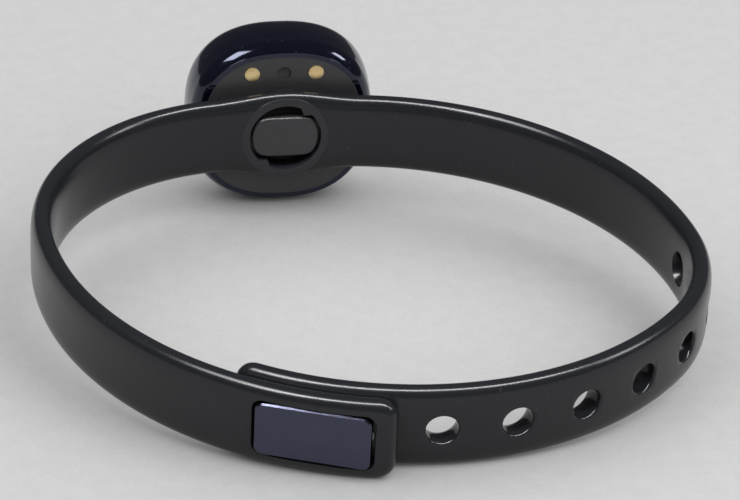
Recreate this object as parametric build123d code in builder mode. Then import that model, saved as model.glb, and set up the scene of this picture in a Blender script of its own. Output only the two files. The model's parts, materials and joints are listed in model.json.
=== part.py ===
from build123d import *
from math import atan2, cos, degrees, radians, sin, sqrt
import os

# A fitness tracker band, closed on its clasp and standing on its edge.
# The strap is one open ribbon. Its tail runs under the clasp end at the front, and the tracker is
# hung on the outside of its back by a bayonet key that is turned in a hard insert.
# The outline of the band is drawn in the plane of its lower edges: the origin is under the middle
# of the tracker, +Y points out through the tracker, and -Y points to the clasp.

# ---- strap -------------------------------------------------------------------------------------
strap_width = 9.0
strap_thickness = 2.4
edge_flat = 0.1              # left between the two rounded edges on each side
flat_half = 5.0              # straight stretch each side of the tracker's middle
front_radius = 34.5          # bend of the tail, under the clasp end
side_tighter = 0.5           # the bend beside the tracker, on the side of the holes
side_sweep = 86.0
corner_tighter = 15.5        # the bend where that side turns to the front
corner_sweep = 45.0
tail_angle = -125.3          # direction of the tail's tip, seen from the middle of the front bend
tip_corner = 2.1             # corners of the tail's tip and of the clasp end
layer_gap = 0.12             # between the tail and the clasp end that lies on it

# ---- adjusting holes ---------------------------------------------------------------------------
hole_radius = 1.65
hole_pitch = 7.5
hole_count = 9
tail_margin = 5.58           # from the tail's tip to the first hole

# ---- clasp end ---------------------------------------------------------------------------------
end_margin = 3.45            # from the second stud to the end of the strap
free_length = 27.0           # of the clasp end that bends away when it is opened
flex_gap = 0.15              # at the bending line
plate_length = 11.5
plate_rim = 1.5              # strap left above and below the plate
plate_corner = 0.9
plate_thickness = 0.8
plate_sink = 0.25            # from the strap's crown down to the plate's face
plate_shift = 0.6            # the plate's middle sits this far behind the studs' middle
plate_chamfer = 0.25
window_play = 0.25           # dark gap all round the plate
base_end_inset = 0.55        # the base under the plate is this much shorter at each end
base_side_inset = 0.5
base_thickness = 0.35
stud_play = 0.5              # round the studs' necks in the holes
stud_head_play = 0.3
stud_head_length = 0.5
stud_short = 0.25            # the studs end this far inside the tail's inner face
seat_play = 0.02             # between pieces bonded or pressed into each other

# ---- mounting hole and bayonet -----------------------------------------------------------------
pad_swell = 0.85             # the strap swells by this much on each edge round the mounting hole
pad_wall = 0.4               # strap left round the insert's flange
pad_run = 1.55               # from the flange to the ends of the swell
insert_wall = 0.58
insert_lip = 0.25            # of the insert's flange
insert_flange_thickness = 0.8
key_radius = 3.78            # of the key's two round ends
key_width = 5.0
key_corner = 1.05
key_thickness = 1.0
key_sink = 0.15              # from the strap's inner face down to the key's face
key_play = 0.34
key_edge = 0.34
land_play = 0.08             # between the key and the lands that it grips
turn_angle = 70.0            # from locked to free
turn_steps = 8
post_radius = 1.9
post_play = 0.08
spigot_radius = 1.2

# ---- tracker -----------------------------------------------------------------------------------
tracker_half = 10.4
flank_ratio = 1.49           # radius of the outline's flanks, as a multiple of its half width
corner_ratio = 0.62          # radius of its corners, likewise
cover_gap = 0.3              # between the strap and the rear cover
cover_rim = 1.25             # of the shell, round the rear cover
cover_thickness = 1.2
cover_bevel = 0.35
seam = 0.08                  # between the rear cover and the shell
shell_rise = 0.05            # the shell's rim stands this far outside the cover's face
shell_depth = 8.3
shell_rear_fillet = 1.0
shell_front_fillet = 3.2
shell_front_wall = 1.1
shell_wall = 1.8
cavity_fillet = 2.0
gasket_thickness = 0.3
gasket_width = 0.4
contact_spacing = 7.2
contact_rim = 1.8            # from the contacts' middles up to the cavity's wall
contact_radius = 0.85
contact_head = 0.4
contact_proud = 0.15
contact_shank_radius = 0.55
seal_radius = 0.95
seal_thickness = 0.3
locator_radius = 0.75
locator_depth = 0.4
screw_radius = 0.8
screw_head_radius = 1.4
screw_head_height = 0.6
screw_length = 2.6
washer_radius = 1.5
washer_thickness = 0.22
frame_wall = 0.45
board_play = 0.3             # round the board's edge
board_room = 1.91            # from the board to the shell's front wall
board_thickness = 0.6
battery_rim = 3.4            # between the battery's sides and the cavity's wall
battery_air = 0.32           # between the battery and the screw's head
battery_drop = 1.1           # the battery sits this far below the tracker's middle
battery_corner = 1.0
battery_pad_inset = 0.7
battery_pad_thickness = 0.2
pin_barrel_radius = 0.6
pin_barrel_length = 1.6
pin_plunger_radius = 0.4
guide_radius = 0.8
led_rim = 3.1                # from the status light up to the board's edge
led_thickness = 0.4
clear = 0.03                 # between stacked inner pieces

# ---- worked out from the sizes above -----------------------------------------------------------


def reach(radius, angle):
    return Vector(radius * cos(radians(angle)), radius * sin(radians(angle)))


side_radius = front_radius - side_tighter
corner_radius = front_radius - corner_tighter
side_end = 90 - side_sweep
corner_end = side_end - corner_sweep
side_centre = Vector(flat_half, -side_radius)
corner_centre = side_centre + reach(side_radius - corner_radius, side_end)
front_centre = corner_centre + reach(corner_radius - front_radius, corner_end)

# The clasp side leaves the straight stretch on one bend and joins a bend about the front centre.
outer_radius = front_radius + strap_thickness + layer_gap
bend_reach = front_centre.X + flat_half
bend_radius = outer_radius**2 - bend_reach**2 - front_centre.Y**2
bend_radius /= 2 * (front_centre.Y + outer_radius)
bend_centre = Vector(-flat_half, -bend_radius)
join_angle = degrees(atan2(bend_centre.Y - front_centre.Y, bend_centre.X - front_centre.X)) % 360


def hole_angle(number):
    return tail_angle + degrees((tail_margin + number * hole_pitch) / front_radius)


clasp_end_angle = hole_angle(1) + degrees(end_margin / outer_radius)
flex_angle = clasp_end_angle - degrees(free_length / outer_radius)
half_thickness = strap_thickness / 2
edge_radius = half_thickness - edge_flat
crown_radius = outer_radius + half_thickness

# The clasp's plate and base follow the strap's width, and its studs follow the holes.
plate_width = strap_width - 2 * plate_rim
base_length = plate_length - 2 * base_end_inset
base_width = plate_width - 2 * base_side_inset
stud_radius = hole_radius - stud_play
stud_head_radius = hole_radius - stud_head_play

# The insert is built round the key, the strap's swell round the insert.
insert_radius = key_radius + key_play + insert_wall
insert_flange_radius = insert_radius + insert_lip
pad_height = max(strap_width + 2 * pad_swell, 2 * (insert_flange_radius + pad_wall))
pad_half_length = insert_flange_radius + pad_run

# Widths inside the tracker, from its shell inwards.
cover_half = tracker_half - cover_rim
cavity_half = tracker_half - shell_wall
board_half = cavity_half - board_play
battery_side = 2 * (cavity_half - battery_rim)
pad_side = battery_side - 2 * battery_pad_inset
contact_height = cavity_half - contact_rim
led_height = board_half - led_rim

# Depths outside the strap's centreline, through the tracker.
key_face = key_sink - half_thickness
key_back = key_face + key_thickness
land_face = key_back + land_play
cover_face = half_thickness + cover_gap
cover_back = cover_face + cover_thickness
shell_face = cover_face + shell_rise
shell_front = shell_face + shell_depth
ledge = cover_back + gasket_thickness + 2 * clear
contact_end = cover_back + seal_thickness + clear
washer_back = cover_back + clear + washer_thickness
board_front = shell_front - shell_front_wall - board_room
board_face = board_front - clear - board_thickness
frame_depth = board_face - ledge
battery_front = board_face - 2 * clear - battery_pad_thickness
battery_back = washer_back + clear + screw_head_height + battery_air

# The band stands on the clasp's lower edge and on the tracker, so its back is raised.
tracker_drop = tracker_half - strap_width / 2
front_stand = front_centre.Y - outer_radius
tracker_stand = shell_face + shell_rear_fillet
tilt = degrees(atan2(tracker_drop, tracker_stand - front_stand))
right_side = corner_centre.X + corner_radius + half_thickness
left_side = -flat_half - bend_radius - half_thickness
front_side = front_centre.Y - crown_radius
across = -(right_side + left_side) / 2
along = -(shell_front + front_side) / 2 * cos(radians(tilt))
raised = -front_stand * sin(radians(tilt))

lower_edges = Plane(
    origin=(across, along, raised),
    x_dir=(1, 0, 0),
    z_dir=(0, -sin(radians(tilt)), cos(radians(tilt))),
)
centreline = lower_edges.offset(strap_width / 2)
up = centreline.z_dir
outward = centreline.y_dir
# Looking at the tracker's front from outside: x runs to the wearer's left, y runs up.
tracker = Plane(origin=centreline.origin, x_dir=-centreline.x_dir, z_dir=outward)
outward_axis = Axis(tracker.origin, outward)


def spoke(radius, angle):
    """The plane square to the front bend's radius at an angle: x along the strap, y up."""
    place = front_centre + reach(radius, angle)
    heading = reach(1, angle + 90)
    outwards = reach(1, angle)
    return Plane(
        origin=centreline.from_local_coords(place),
        x_dir=centreline.x_dir * heading.X + centreline.y_dir * heading.Y,
        z_dir=centreline.x_dir * outwards.X + centreline.y_dir * outwards.Y,
    )


def squircle(half, less=0, mode=Mode.ADD):
    """Draws the tracker's rounded-square outline of a half width, drawn in by less all round."""
    flank = flank_ratio * half
    corner = corner_ratio * half
    lean = flank - half
    corner_place = (sqrt(2 * (flank - corner) ** 2 - lean**2) - lean) / 2
    meet = degrees(atan2(corner_place, corner_place + lean))
    with BuildLine() as outline:
        for quarter in range(4):
            turned = 90 * quarter
            flank_centre = Vector(0, -lean).rotate(Axis.Z, turned)
            corner_centre_here = Vector(-corner_place, corner_place).rotate(Axis.Z, turned)
            CenterArc(flank_centre, flank - less, 90 - meet + turned, 2 * meet)
            CenterArc(corner_centre_here, corner - less, 90 + meet + turned, 90 - 2 * meet)
    make_face(outline.edges(), mode=mode)


def keep(builder, name):
    builder.part.label = name
    export_step(builder.part, f"parts/{name}.step")


os.makedirs("parts", exist_ok=True)

# ---- strap, from the tail's tip round to the line where the clasp end bends ---------------------
with BuildPart() as band:
    with BuildLine(centreline) as band_line:
        CenterArc(tuple(front_centre), front_radius, tail_angle, corner_end - tail_angle)
        CenterArc(tuple(corner_centre), corner_radius, corner_end, corner_sweep)
        CenterArc(tuple(side_centre), side_radius, side_end, side_sweep)
        Line((flat_half, 0), (-flat_half, 0))
        CenterArc(tuple(bend_centre), bend_radius, 90, join_angle - 90)
        CenterArc(tuple(front_centre), outer_radius, join_angle, flex_angle % 360 - join_angle)
    route = band_line.wire()
    tip = Plane(origin=route @ 0, x_dir=up, z_dir=route % 0)
    with BuildSketch(tip):
        RectangleRounded(strap_width, strap_thickness, edge_radius)
    sweep()
    # The swell round the mounting hole.
    with BuildSketch(tracker.offset(-half_thickness)) as swell_outline:
        with BuildLine():
            for side in (1, -1):
                ThreePointArc(
                    (-pad_half_length, side * strap_width / 2),
                    (0, side * pad_height / 2),
                    (pad_half_length, side * strap_width / 2),
                )
            for side in (1, -1):
                Line(
                    (side * pad_half_length, -strap_width / 2),
                    (side * pad_half_length, strap_width / 2),
                )
        make_face()
    swell = extrude(amount=strap_thickness, mode=Mode.PRIVATE)
    long_edges = swell.edges().filter_by(GeomType.CIRCLE)
    add(swell.fillet(edge_radius, long_edges))
    # The seat of the bayonet insert, with a groove that holds its flange.
    with BuildSketch(tracker.offset(-strap_thickness)):
        Circle(insert_radius + seat_play)
    extrude(amount=2 * strap_thickness, mode=Mode.SUBTRACT)
    with BuildSketch(tracker.offset(-insert_flange_thickness / 2 - seat_play)):
        Circle(insert_flange_radius + seat_play)
    extrude(amount=insert_flange_thickness + 2 * seat_play, mode=Mode.SUBTRACT)
    # Rounded corners of the tail's tip.
    with BuildSketch(spoke(front_radius - strap_thickness, tail_angle)):
        Rectangle(2 * tip_corner, 2 * strap_width)
        RectangleRounded(
            4 * tip_corner,
            strap_width,
            tip_corner,
            align=(Align.MIN, Align.CENTER),
            mode=Mode.SUBTRACT,
        )
    extrude(amount=2 * strap_thickness, mode=Mode.SUBTRACT)
    # The adjusting holes, evenly spaced along the centreline from the tail's tip.
    for number in range(hole_count):
        share = (tail_margin + number * hole_pitch) / route.length
        heading = route % share
        through = heading.cross(up)
        with BuildSketch(Plane(origin=route @ share, x_dir=up, z_dir=through)):
            Circle(hole_radius)
        extrude(amount=strap_thickness, both=True, mode=Mode.SUBTRACT)
keep(band, "band")

# ---- clasp end: the last stretch of the strap, which lies on the tail ---------------------------
studs_middle = (hole_angle(0) + hole_angle(1)) / 2
plate_plane = spoke(crown_radius, studs_middle - degrees(plate_shift / outer_radius))
plate_back = -plate_sink - plate_thickness
base_face = plate_back - seat_play
base_back = base_face - base_thickness
stud_top = crown_radius + base_back - seat_play
stud_end = front_radius - half_thickness + stud_short

with BuildPart() as clasp_strap_end:
    with BuildLine(centreline) as end_line:
        start_angle = flex_angle + degrees(flex_gap / outer_radius)
        CenterArc(tuple(front_centre), outer_radius, start_angle, clasp_end_angle - start_angle)
    route = end_line.wire()
    with BuildSketch(Plane(origin=route @ 0, x_dir=up, z_dir=route % 0)):
        RectangleRounded(strap_width, strap_thickness, edge_radius)
    sweep()
    with BuildSketch(spoke(outer_radius - strap_thickness, clasp_end_angle)):
        Rectangle(2 * tip_corner, 2 * strap_width)
        RectangleRounded(
            4 * tip_corner,
            strap_width,
            tip_corner,
            align=(Align.MAX, Align.CENTER),
            mode=Mode.SUBTRACT,
        )
    extrude(amount=2 * strap_thickness, mode=Mode.SUBTRACT)
    # The window that the plate lies in, and the seat of the base under it.
    with BuildSketch(plate_plane.offset(plate_back)):
        RectangleRounded(
            plate_length + 2 * window_play,
            plate_width + 2 * window_play,
            plate_corner + window_play,
        )
    extrude(amount=strap_thickness, mode=Mode.SUBTRACT)
    with BuildSketch(plate_plane.offset(base_back - seat_play)):
        RectangleRounded(base_length + 2 * seat_play, base_width + 2 * seat_play, plate_corner)
    extrude(amount=strap_thickness, mode=Mode.SUBTRACT)
    for number in range(2):
        with BuildSketch(spoke(stud_end, hole_angle(number))):
            Circle(stud_radius + seat_play)
        extrude(amount=crown_radius - stud_end, mode=Mode.SUBTRACT)
keep(clasp_strap_end, "clasp_strap_end")

with BuildPart() as clasp_plate:
    with BuildSketch(plate_plane.offset(plate_back)):
        RectangleRounded(plate_length, plate_width, plate_corner)
    extrude(amount=plate_thickness)
    plate_face = clasp_plate.faces().sort_by(Axis(plate_plane.origin, plate_plane.z_dir))[-1]
    chamfer(plate_face.edges(), plate_chamfer)
keep(clasp_plate, "clasp_plate")

with BuildPart() as clasp_base:
    with BuildSketch(plate_plane.offset(base_back)):
        RectangleRounded(base_length, base_width, plate_corner)
    extrude(amount=base_thickness)
keep(clasp_base, "clasp_base")

with BuildPart() as clasp_studs:
    for number in range(2):
        with BuildSketch(spoke(stud_end, hole_angle(number))):
            Circle(stud_radius)
        extrude(amount=stud_top - stud_end)
        with BuildSketch(spoke(stud_end, hole_angle(number))):
            Circle(stud_head_radius)
        extrude(amount=stud_head_length)
keep(clasp_studs, "clasp_studs")

# ---- bayonet ------------------------------------------------------------------------------------


def key_way(turned):
    """The room that the key's bar takes with its play, turned from its locked position."""
    Rectangle(2 * key_radius + 2 * key_play, key_width + 2 * key_play, rotation=turned)


with BuildPart() as bayonet_insert:
    with BuildSketch(tracker.offset(-half_thickness)):
        Circle(insert_radius)
    extrude(amount=strap_thickness)
    with BuildSketch(tracker.offset(-insert_flange_thickness / 2)):
        Circle(insert_flange_radius)
    extrude(amount=insert_flange_thickness)
    # The recess that the key turns in, bounded by its locked and its free position.
    with BuildSketch(tracker.offset(-half_thickness)):
        for step in range(turn_steps + 1):
            key_way(turn_angle * step / turn_steps)
        Circle(key_radius + key_play, mode=Mode.INTERSECT)
    extrude(amount=land_face + half_thickness, mode=Mode.SUBTRACT)
    # The way out through the lands, for the key in its free position, and the post's hole.
    with BuildSketch(tracker.offset(land_face)):
        key_way(turn_angle)
        Circle(key_radius + key_play, mode=Mode.INTERSECT)
        Circle(post_radius + post_play)
    extrude(amount=strap_thickness, mode=Mode.SUBTRACT)
keep(bayonet_insert, "bayonet_insert")

with BuildPart() as bayonet_key:
    with BuildSketch(tracker.offset(key_face)) as key_outline:
        Rectangle(2 * key_radius, key_width)
        Circle(key_radius, mode=Mode.INTERSECT)
        fillet(key_outline.vertices(), key_corner)
    extrude(amount=key_thickness)
    wrist_face = bayonet_key.faces().sort_by(outward_axis)[0]
    fillet(wrist_face.edges(), key_edge)
    with BuildSketch(tracker.offset(key_back)):
        Circle(post_radius)
    extrude(amount=cover_face - clear - key_back)
    with BuildSketch(tracker.offset(cover_face - clear)):
        Circle(spigot_radius)
    extrude(amount=cover_thickness + clear)
    with BuildSketch(tracker.offset(cover_back)):
        Circle(screw_radius + seat_play)
    extrude(amount=-(screw_length - washer_thickness), mode=Mode.SUBTRACT)
keep(bayonet_key, "bayonet_key")

with BuildPart() as key_washer:
    with BuildSketch(tracker.offset(cover_back + clear)):
        Circle(washer_radius)
        Circle(screw_radius + seat_play, mode=Mode.SUBTRACT)
    extrude(amount=washer_thickness)
keep(key_washer, "key_washer")

with BuildPart() as key_screw:
    with BuildSketch(tracker.offset(washer_back + clear)):
        Circle(screw_head_radius)
    extrude(amount=screw_head_height)
    with BuildSketch(tracker.offset(washer_back + clear + screw_head_height)):
        RegularPolygon(screw_radius, 6)
    extrude(amount=-screw_head_height / 2, mode=Mode.SUBTRACT)
    with BuildSketch(tracker.offset(washer_back + clear)):
        Circle(screw_radius)
    extrude(amount=clear - screw_length)
keep(key_screw, "key_screw")

# ---- tracker's casing ---------------------------------------------------------------------------
with BuildPart() as top_shell:
    with BuildSketch(tracker.offset(shell_face)):
        squircle(tracker_half)
    extrude(amount=shell_depth)
    rims = top_shell.edges().group_by(outward_axis)
    fillet(rims[0], shell_rear_fillet)
    rims = top_shell.edges().group_by(outward_axis)
    fillet(rims[-1], shell_front_fillet)
    with BuildSketch(tracker.offset(shell_front - shell_front_wall)):
        squircle(cavity_half)
    cavity = extrude(amount=shell_face - shell_front + shell_front_wall, mode=Mode.PRIVATE)
    deep_rim = cavity.edges().group_by(outward_axis)[-1]
    add(cavity.fillet(cavity_fillet, deep_rim), mode=Mode.SUBTRACT)
    with BuildSketch(tracker.offset(ledge)):
        squircle(cover_half, -seam)
    extrude(amount=shell_face - ledge, mode=Mode.SUBTRACT)
keep(top_shell, "top_shell")

contact_places = [(-contact_spacing / 2, contact_height), (contact_spacing / 2, contact_height)]

with BuildPart() as rear_cover:
    with BuildSketch(tracker.offset(cover_face)):
        squircle(cover_half)
    extrude(amount=cover_thickness)
    chamfer(rear_cover.edges().group_by(outward_axis)[0], cover_bevel)
    with BuildSketch(tracker.offset(cover_face)):
        with Locations(*contact_places):
            Circle(contact_radius + clear)
    extrude(amount=contact_head - contact_proud + clear, mode=Mode.SUBTRACT)
    with BuildSketch(tracker.offset(cover_face)):
        with Locations(*contact_places):
            Circle(contact_shank_radius + clear)
        Circle(spigot_radius + clear)
    extrude(amount=cover_thickness, mode=Mode.SUBTRACT)
    with BuildSketch(tracker.offset(cover_face)):
        with Locations((0, contact_height)):
            Circle(locator_radius)
    extrude(amount=locator_depth, mode=Mode.SUBTRACT)
keep(rear_cover, "rear_cover")

with BuildPart() as cover_gasket:
    with BuildSketch(tracker.offset(cover_back + clear)):
        squircle(cover_half)
        squircle(cover_half, gasket_width, Mode.SUBTRACT)
    extrude(amount=gasket_thickness)
keep(cover_gasket, "cover_gasket")

with BuildPart() as charging_contacts:
    with BuildSketch(tracker.offset(cover_face - contact_proud)):
        with Locations(*contact_places):
            Circle(contact_radius)
    extrude(amount=contact_head)
    domes = charging_contacts.edges().group_by(outward_axis)[0]
    fillet(domes, contact_proud)
    with BuildSketch(tracker.offset(cover_face - contact_proud + contact_head)):
        with Locations(*contact_places):
            Circle(contact_shank_radius)
    extrude(amount=contact_end - cover_face + contact_proud - contact_head)
keep(charging_contacts, "charging_contacts")

with BuildPart() as contact_seals:
    with BuildSketch(tracker.offset(cover_back + clear)):
        with Locations(*contact_places):
            Circle(seal_radius)
            Circle(contact_shank_radius + clear, mode=Mode.SUBTRACT)
    extrude(amount=seal_thickness)
keep(contact_seals, "contact_seals")

# ---- inside the tracker -------------------------------------------------------------------------
with BuildPart() as inner_frame:
    with BuildSketch(tracker.offset(ledge)):
        squircle(cavity_half, seam)
        squircle(cavity_half, seam + frame_wall, Mode.SUBTRACT)
    extrude(amount=frame_depth - clear)
keep(inner_frame, "inner_frame")

with BuildPart() as circuit_board:
    with BuildSketch(tracker.offset(board_face)):
        squircle(board_half)
    extrude(amount=board_thickness)
keep(circuit_board, "circuit_board")

with BuildPart() as battery:
    with BuildSketch(tracker.offset(battery_back)):
        with Locations((0, -battery_drop)):
            RectangleRounded(battery_side, battery_side, battery_corner)
    extrude(amount=battery_front - battery_back)
keep(battery, "battery")

with BuildPart() as battery_pad:
    with BuildSketch(tracker.offset(battery_front + clear)):
        with Locations((0, -battery_drop)):
            Rectangle(pad_side, pad_side)
    extrude(amount=battery_pad_thickness)
keep(battery_pad, "battery_pad")

with BuildPart() as spring_pins:
    pin_tip = contact_end + clear
    barrel_end = board_face - clear
    with BuildSketch(tracker.offset(pin_tip)):
        with Locations(*contact_places):
            Circle(pin_plunger_radius)
    extrude(amount=barrel_end - pin_tip)
    with BuildSketch(tracker.offset(barrel_end)):
        with Locations(*contact_places):
            Circle(pin_barrel_radius)
    extrude(amount=-pin_barrel_length)
keep(spring_pins, "spring_pins")


def board_chip(name, length, width, height, place):
    """A flat package soldered on the front of the board."""
    with BuildPart() as chip:
        with BuildSketch(tracker.offset(board_front)):
            with Locations(place):
                Rectangle(length, width)
        extrude(amount=height)
    keep(chip, name)


board_chip("processor_chip", 4.0, 4.0, 0.8, (2.9, -0.4))
board_chip("motion_sensor", 2.0, 2.0, 0.75, (-2.2, -2.6))
board_chip("memory_chip", 3.0, 2.4, 0.7, (-3.4, 1.0))
board_chip("clock_crystal", 2.0, 1.2, 0.5, (2.9, 3.4))
board_chip("chip_antenna", 5.0, 1.2, 0.9, (0, -6.4))
board_chip("status_led", 1.0, 0.6, led_thickness, (0, led_height))

with BuildPart() as board_parts:
    with BuildSketch(tracker.offset(board_front)):
        with Locations((4.6, -4.0)):
            with GridLocations(1.5, 1.1, 3, 2):
                Rectangle(1.0, 0.5)
        with Locations((-5.0, -4.6), (-5.6, 3.4), (5.9, 2.4)):
            Rectangle(0.6, 1.2)
    extrude(amount=0.5)
keep(board_parts, "board_parts")

with BuildPart() as light_guide:
    guide_start = board_front + led_thickness + clear
    with BuildSketch(tracker.offset(guide_start)):
        with Locations((0, led_height)):
            Circle(guide_radius)
    extrude(amount=shell_front - shell_front_wall - clear - guide_start)
keep(light_guide, "light_guide")
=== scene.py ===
import json
import math

import bmesh
import bpy
from mathutils import Matrix, Vector


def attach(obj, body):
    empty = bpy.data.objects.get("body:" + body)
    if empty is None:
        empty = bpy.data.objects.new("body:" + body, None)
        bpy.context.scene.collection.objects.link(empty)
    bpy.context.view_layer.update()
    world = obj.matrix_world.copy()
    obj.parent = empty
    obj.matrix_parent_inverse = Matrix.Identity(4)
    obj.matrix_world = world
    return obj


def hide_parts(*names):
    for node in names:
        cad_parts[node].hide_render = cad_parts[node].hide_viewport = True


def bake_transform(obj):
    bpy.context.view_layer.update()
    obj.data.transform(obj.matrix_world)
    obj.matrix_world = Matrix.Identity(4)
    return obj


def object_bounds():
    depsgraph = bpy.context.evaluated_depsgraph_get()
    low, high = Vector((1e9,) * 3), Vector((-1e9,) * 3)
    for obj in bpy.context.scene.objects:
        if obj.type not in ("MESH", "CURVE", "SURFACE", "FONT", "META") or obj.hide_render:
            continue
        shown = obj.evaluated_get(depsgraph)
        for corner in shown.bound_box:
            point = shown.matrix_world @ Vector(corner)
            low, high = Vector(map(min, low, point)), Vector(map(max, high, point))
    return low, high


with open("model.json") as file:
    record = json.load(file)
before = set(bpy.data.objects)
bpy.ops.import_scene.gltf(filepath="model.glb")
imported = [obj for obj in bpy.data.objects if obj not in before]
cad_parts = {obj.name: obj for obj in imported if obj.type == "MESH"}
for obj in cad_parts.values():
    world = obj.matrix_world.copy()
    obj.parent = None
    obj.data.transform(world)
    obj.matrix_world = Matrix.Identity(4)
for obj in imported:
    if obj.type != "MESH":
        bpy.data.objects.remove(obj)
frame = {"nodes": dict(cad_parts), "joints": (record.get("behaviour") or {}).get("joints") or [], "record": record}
cadBox = [list(corner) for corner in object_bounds()]
print("frame loaded")

# the band's own directions: x along the strap's back, y out through the tracker, z up its edge
joints = {joint["name"]: joint for joint in frame["joints"]}
outward = Vector(joints["tracker_turn"]["axis"])
upward = -Vector(joints["clasp_lift"]["axis"])
backMiddle = Vector(joints["tracker_turn"]["pos_m"])
bandTurn = Matrix((outward.cross(upward), outward, upward)).transposed().to_4x4()
millimetre = 0.001
bandPlace = Matrix.Translation(backMiddle) @ bandTurn @ Matrix.Scale(millimetre, 4)
mergeDistance = 0.0004
cutDistance = 0.001
seamDistance = 0.0001


# mesh helpers, all in millimetres in the band's own directions


def unitTube(levels, around):
    # rings of a unit circle, one unit apart in z
    shape = bmesh.new()
    ring = bmesh.ops.create_circle(shape, segments=around, radius=1.0)["verts"]
    edges = list({edge for vert in ring for edge in vert.link_edges})
    for level in range(1, levels):
        grown = bmesh.ops.extrude_edge_only(shape, edges=edges)["geom"]
        edges = [item for item in grown if isinstance(item, bmesh.types.BMEdge)]
        ring = [item for item in grown if isinstance(item, bmesh.types.BMVert)]
        edges = [edge for edge in edges if all(vert in ring for vert in edge.verts)]
        bmesh.ops.translate(shape, verts=ring, vec=(0, 0, 1))
    return shape


def placeTube(shape, rule):
    # rule gives a vertex its place from its level and its angle round the tube
    for vert in shape.verts:
        vert.co = rule(round(vert.co.z), math.atan2(vert.co.y, vert.co.x))
    bmesh.ops.remove_doubles(shape, verts=shape.verts, dist=mergeDistance)
    closeEnds(shape)


def closeEnds(shape):
    rim = [edge for edge in shape.edges if edge.is_boundary]
    if rim:
        bmesh.ops.holes_fill(shape, edges=rim, sides=0)
    bmesh.ops.recalc_face_normals(shape, faces=shape.faces)


def turned(profile, outline, around):
    # a closed piece round the outward axis: profile holds (depth, size) pairs
    shape = unitTube(len(profile), around)

    def rule(level, angle):
        depth, size = profile[level]
        side, height = outline(size, angle)
        return Vector((side, depth, height))

    placeTube(shape, rule)
    return shape


def roundOutline(size, angle):
    return size * math.cos(angle), size * math.sin(angle)


def power(value, exponent):
    return math.copysign(abs(value) ** exponent, value)


def arcSteps(centre, radius, start, sweep, steps):
    # points of an arc in (depth, size), angles from the depth axis
    angles = [math.radians(start + sweep * step / steps) for step in range(steps + 1)]
    return [(centre[0] + radius * math.cos(a), centre[1] + radius * math.sin(a)) for a in angles]


def makePiece(shape, name, place=None):
    mesh = bpy.data.meshes.new(name)
    shape.to_mesh(mesh)
    shape.free()
    if place:
        mesh.transform(place)
    piece = bpy.data.objects.new(name, mesh)
    bpy.context.scene.collection.objects.link(piece)
    return piece


def applyModifiers(piece):
    bpy.context.view_layer.update()
    seen = piece.evaluated_get(bpy.context.evaluated_depsgraph_get())
    finished = bpy.data.meshes.new_from_object(seen)
    finished.name = piece.name
    piece.modifiers.clear()
    piece.data = finished


def combine(piece, tool, operation):
    change = piece.modifiers.new("change", "BOOLEAN")
    change.operation = operation
    change.solver = "EXACT"
    change.object = tool
    applyModifiers(piece)
    bpy.data.objects.remove(tool)


def smoothPiece(piece, angle):
    piece.data.shade_smooth()
    piece.data.set_sharp_from_angle(angle=math.radians(angle))


def finishPiece(piece, material, bodies, nodes=(), crease=32):
    piece.data.materials.clear()
    piece.data.materials.append(material)
    smoothPiece(piece, crease)
    if isinstance(bodies, str):
        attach(piece, bodies)
    if nodes:
        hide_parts(*nodes)


# finishes: sizes and depths in millimetres, tones as linear reflectance


class Value:
    # a socket that takes part in sums
    def __init__(self, tree, socket):
        self.tree = tree
        self.socket = socket

    def sum(self, operation, first, second):
        node = self.tree.nodes.new("ShaderNodeMath")
        node.operation = operation
        plugIn(self.tree, node.inputs[0], first)
        plugIn(self.tree, node.inputs[1], second)
        return Value(self.tree, node.outputs[0])

    def __add__(self, other):
        return self.sum("ADD", self, other)

    def __radd__(self, other):
        return self.sum("ADD", other, self)

    def __sub__(self, other):
        return self.sum("SUBTRACT", self, other)

    def __rsub__(self, other):
        return self.sum("SUBTRACT", other, self)

    def __mul__(self, other):
        return self.sum("MULTIPLY", self, other)

    def __rmul__(self, other):
        return self.sum("MULTIPLY", other, self)


def plugIn(tree, socket, value):
    if isinstance(value, Value):
        tree.links.new(value.socket, socket)
    else:
        socket.default_value = value


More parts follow.
